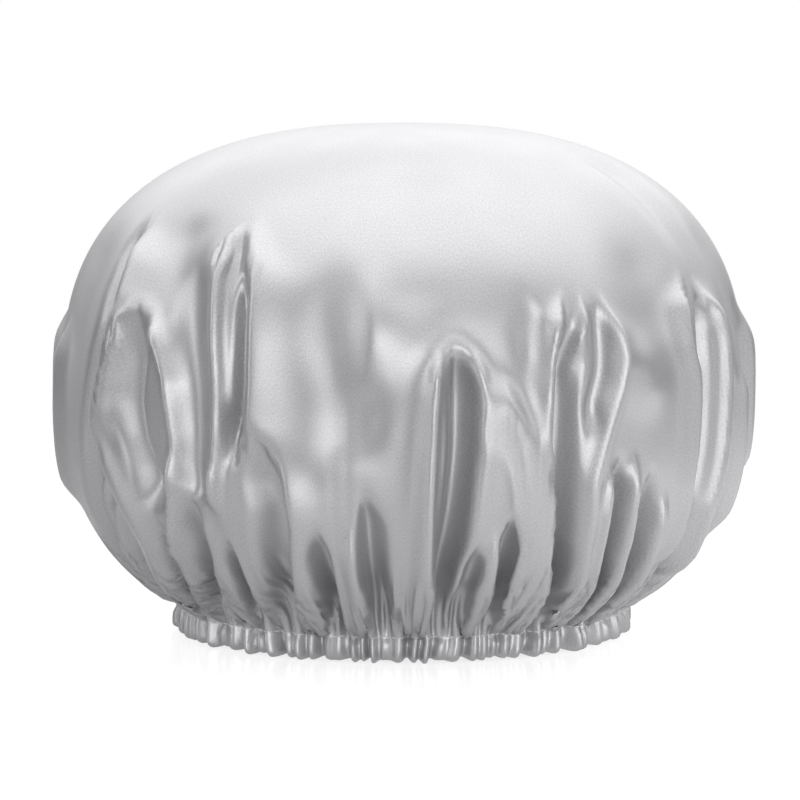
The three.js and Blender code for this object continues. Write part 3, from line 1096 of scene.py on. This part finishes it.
def lit_table():
    """A pale table top that glows and fades into the white behind it; its glow towards the cap is painted
    light.
    """
    mesh = bpy.data.meshes.new("floor")
    half = TABLE_HALF
    corners = [(-half, -half, 0), (half, -half, 0), (half, half, 0), (-half, half, 0)]
    mesh.from_pydata(corners, [], [(0, 1, 2, 3)])
    piece = bpy.data.objects.new("floor", mesh)
    bpy.context.collection.objects.link(piece)
    material = bpy.data.materials.new("lit_table")
    material.use_nodes = True
    nodes = material.node_tree.nodes
    link = material.node_tree.links.new
    shader = nodes["Principled BSDF"]
    shader.inputs["Base Color"].default_value = TABLE_GREY
    shader.inputs["Roughness"].default_value = 0.14
    shader.inputs["Specular IOR Level"].default_value = 0.3
    shader.inputs["Emission Strength"].default_value = 0.75
    # The camera sees the table glow evenly white; what the cap reflects and takes light from is painted
    # light, darker on the left and brighter on the right
    path = nodes.new("ShaderNodeLightPath")
    glow = nodes.new("ShaderNodeMix")
    glow.data_type = "RGBA"
    glow.inputs["B"].default_value = WHITE
    painted_floor_light = tone_ramp(nodes, TABLE_GLOW)
    place = nodes.new("ShaderNodeTexCoord")
    side = nodes.new("ShaderNodeSeparateXYZ")
    link(place.outputs["Generated"], side.inputs["Vector"])
    link(side.outputs["X"], painted_floor_light.inputs["Fac"])
    link(painted_floor_light.outputs["Color"], glow.inputs["A"])
    link(path.outputs["Is Camera Ray"], glow.inputs["Factor"])
    link(glow.outputs["Result"], shader.inputs["Emission Color"])
    reach = nodes.new("ShaderNodeVectorMath")
    reach.operation = "LENGTH"
    fade = nodes.new("ShaderNodeMapRange")
    fade.inputs["From Min"].default_value, fade.inputs["From Max"].default_value = TABLE_FADE
    fade.inputs["To Min"].default_value = 1.0
    fade.inputs["To Max"].default_value = 0.0
    link(place.outputs["Object"], reach.inputs[0])
    link(reach.outputs["Value"], fade.inputs["Value"])
    link(fade.outputs["Result"], shader.inputs["Alpha"])
    mesh.materials.append(material)


def white_studio():
    """Grey walls at the height of the cap and white above, with plain white behind for the camera."""
    world = bpy.data.worlds.new("white_studio")
    world.use_nodes = True
    bpy.context.scene.world = world
    nodes = world.node_tree.nodes
    link = world.node_tree.links.new
    walls = nodes["Background"]
    walls.inputs["Strength"].default_value = WALL_STRENGTH
    place = nodes.new("ShaderNodeTexCoord")
    height = nodes.new("ShaderNodeVectorMath")
    height.operation = "DOT_PRODUCT"
    height.inputs[1].default_value = WALL_LEAN
    tones = tone_ramp(nodes, WALL_TONES)
    link(place.outputs["Generated"], height.inputs[0])
    link(height.outputs["Value"], tones.inputs["Fac"])
    link(tones.outputs["Color"], walls.inputs["Color"])
    behind = nodes.new("ShaderNodeBackground")
    behind.inputs["Color"].default_value = WHITE
    path = nodes.new("ShaderNodeLightPath")
    choice = nodes.new("ShaderNodeMixShader")
    link(path.outputs["Is Camera Ray"], choice.inputs["Fac"])
    link(walls.outputs["Background"], choice.inputs[1])
    link(behind.outputs["Background"], choice.inputs[2])
    link(choice.outputs["Shader"], nodes["World Output"].inputs["Surface"])


# The camera sees the cap as wide in its frame as it is in the photograph, whose widths are in pixels

PHOTO_PIXELS = 800
CAP_PIXELS = 698
CAP_ACROSS = 0.255
SENSOR_WIDTH = 36
ELEVATION = math.radians(6)
CAMERA_DISTANCE = 1.35
FRAME_WIDTH = PHOTO_PIXELS / CAP_PIXELS * CAP_ACROSS
AIM = Vector((-0.0012, 0, 0.0841))


def photo_camera():
    """A camera in front of the cap and a little above it, as the photograph seems taken."""
    data = bpy.data.cameras.new("camera")
    data.sensor_width = SENSOR_WIDTH
    data.lens = SENSOR_WIDTH * CAMERA_DISTANCE / FRAME_WIDTH
    view = bpy.data.objects.new("camera", data)
    bpy.context.collection.objects.link(view)
    view.location = AIM + Vector((0, -math.cos(ELEVATION), math.sin(ELEVATION))) * CAMERA_DISTANCE
    view.rotation_euler = (math.pi / 2 - ELEVATION, 0, 0)
    bpy.context.scene.camera = view


# The lights: name, place, width and height in metres, power

LIT_POINT = Vector((0, 0, 0.08))
SOFTBOXES = [
    ("key", (0.05, -0.1, 1.4), (2.6, 2.0), 14),
    ("left_strip", (-1.2, -0.8, 0.55), (0.25, 1.2), 4),
    ("left_rim", (-1.1, 0.8, 0.5), (0.4, 1.2), 1.2),
    ("right_strip", (1.3, -0.5, 0.5), (0.25, 1.2), 1.5),
    ("front_fill", (0.36, -1.9, 0.34), (1.5, 0.66), 12.5),
    ("back_top", (0, 1.5, 1.0), (2.6, 0.9), 6),
]


def softbox(name, place, size, power):
    """A flat lamp that faces the cap."""
    data = bpy.data.lights.new(name, "AREA")
    data.shape = "RECTANGLE"
    data.size, data.size_y = size
    data.energy = power
    lamp = bpy.data.objects.new(name, data)
    bpy.context.collection.objects.link(lamp)
    lamp.location = place
    lamp.rotation_euler = (LIT_POINT - Vector(place)).to_track_quat("-Z", "Y").to_euler()


lit_table()
white_studio()
photo_camera()
for name, place, size, power in SOFTBOXES:
    softbox(name, place, size, power)
bpy.context.scene.view_settings.view_transform = "Standard"
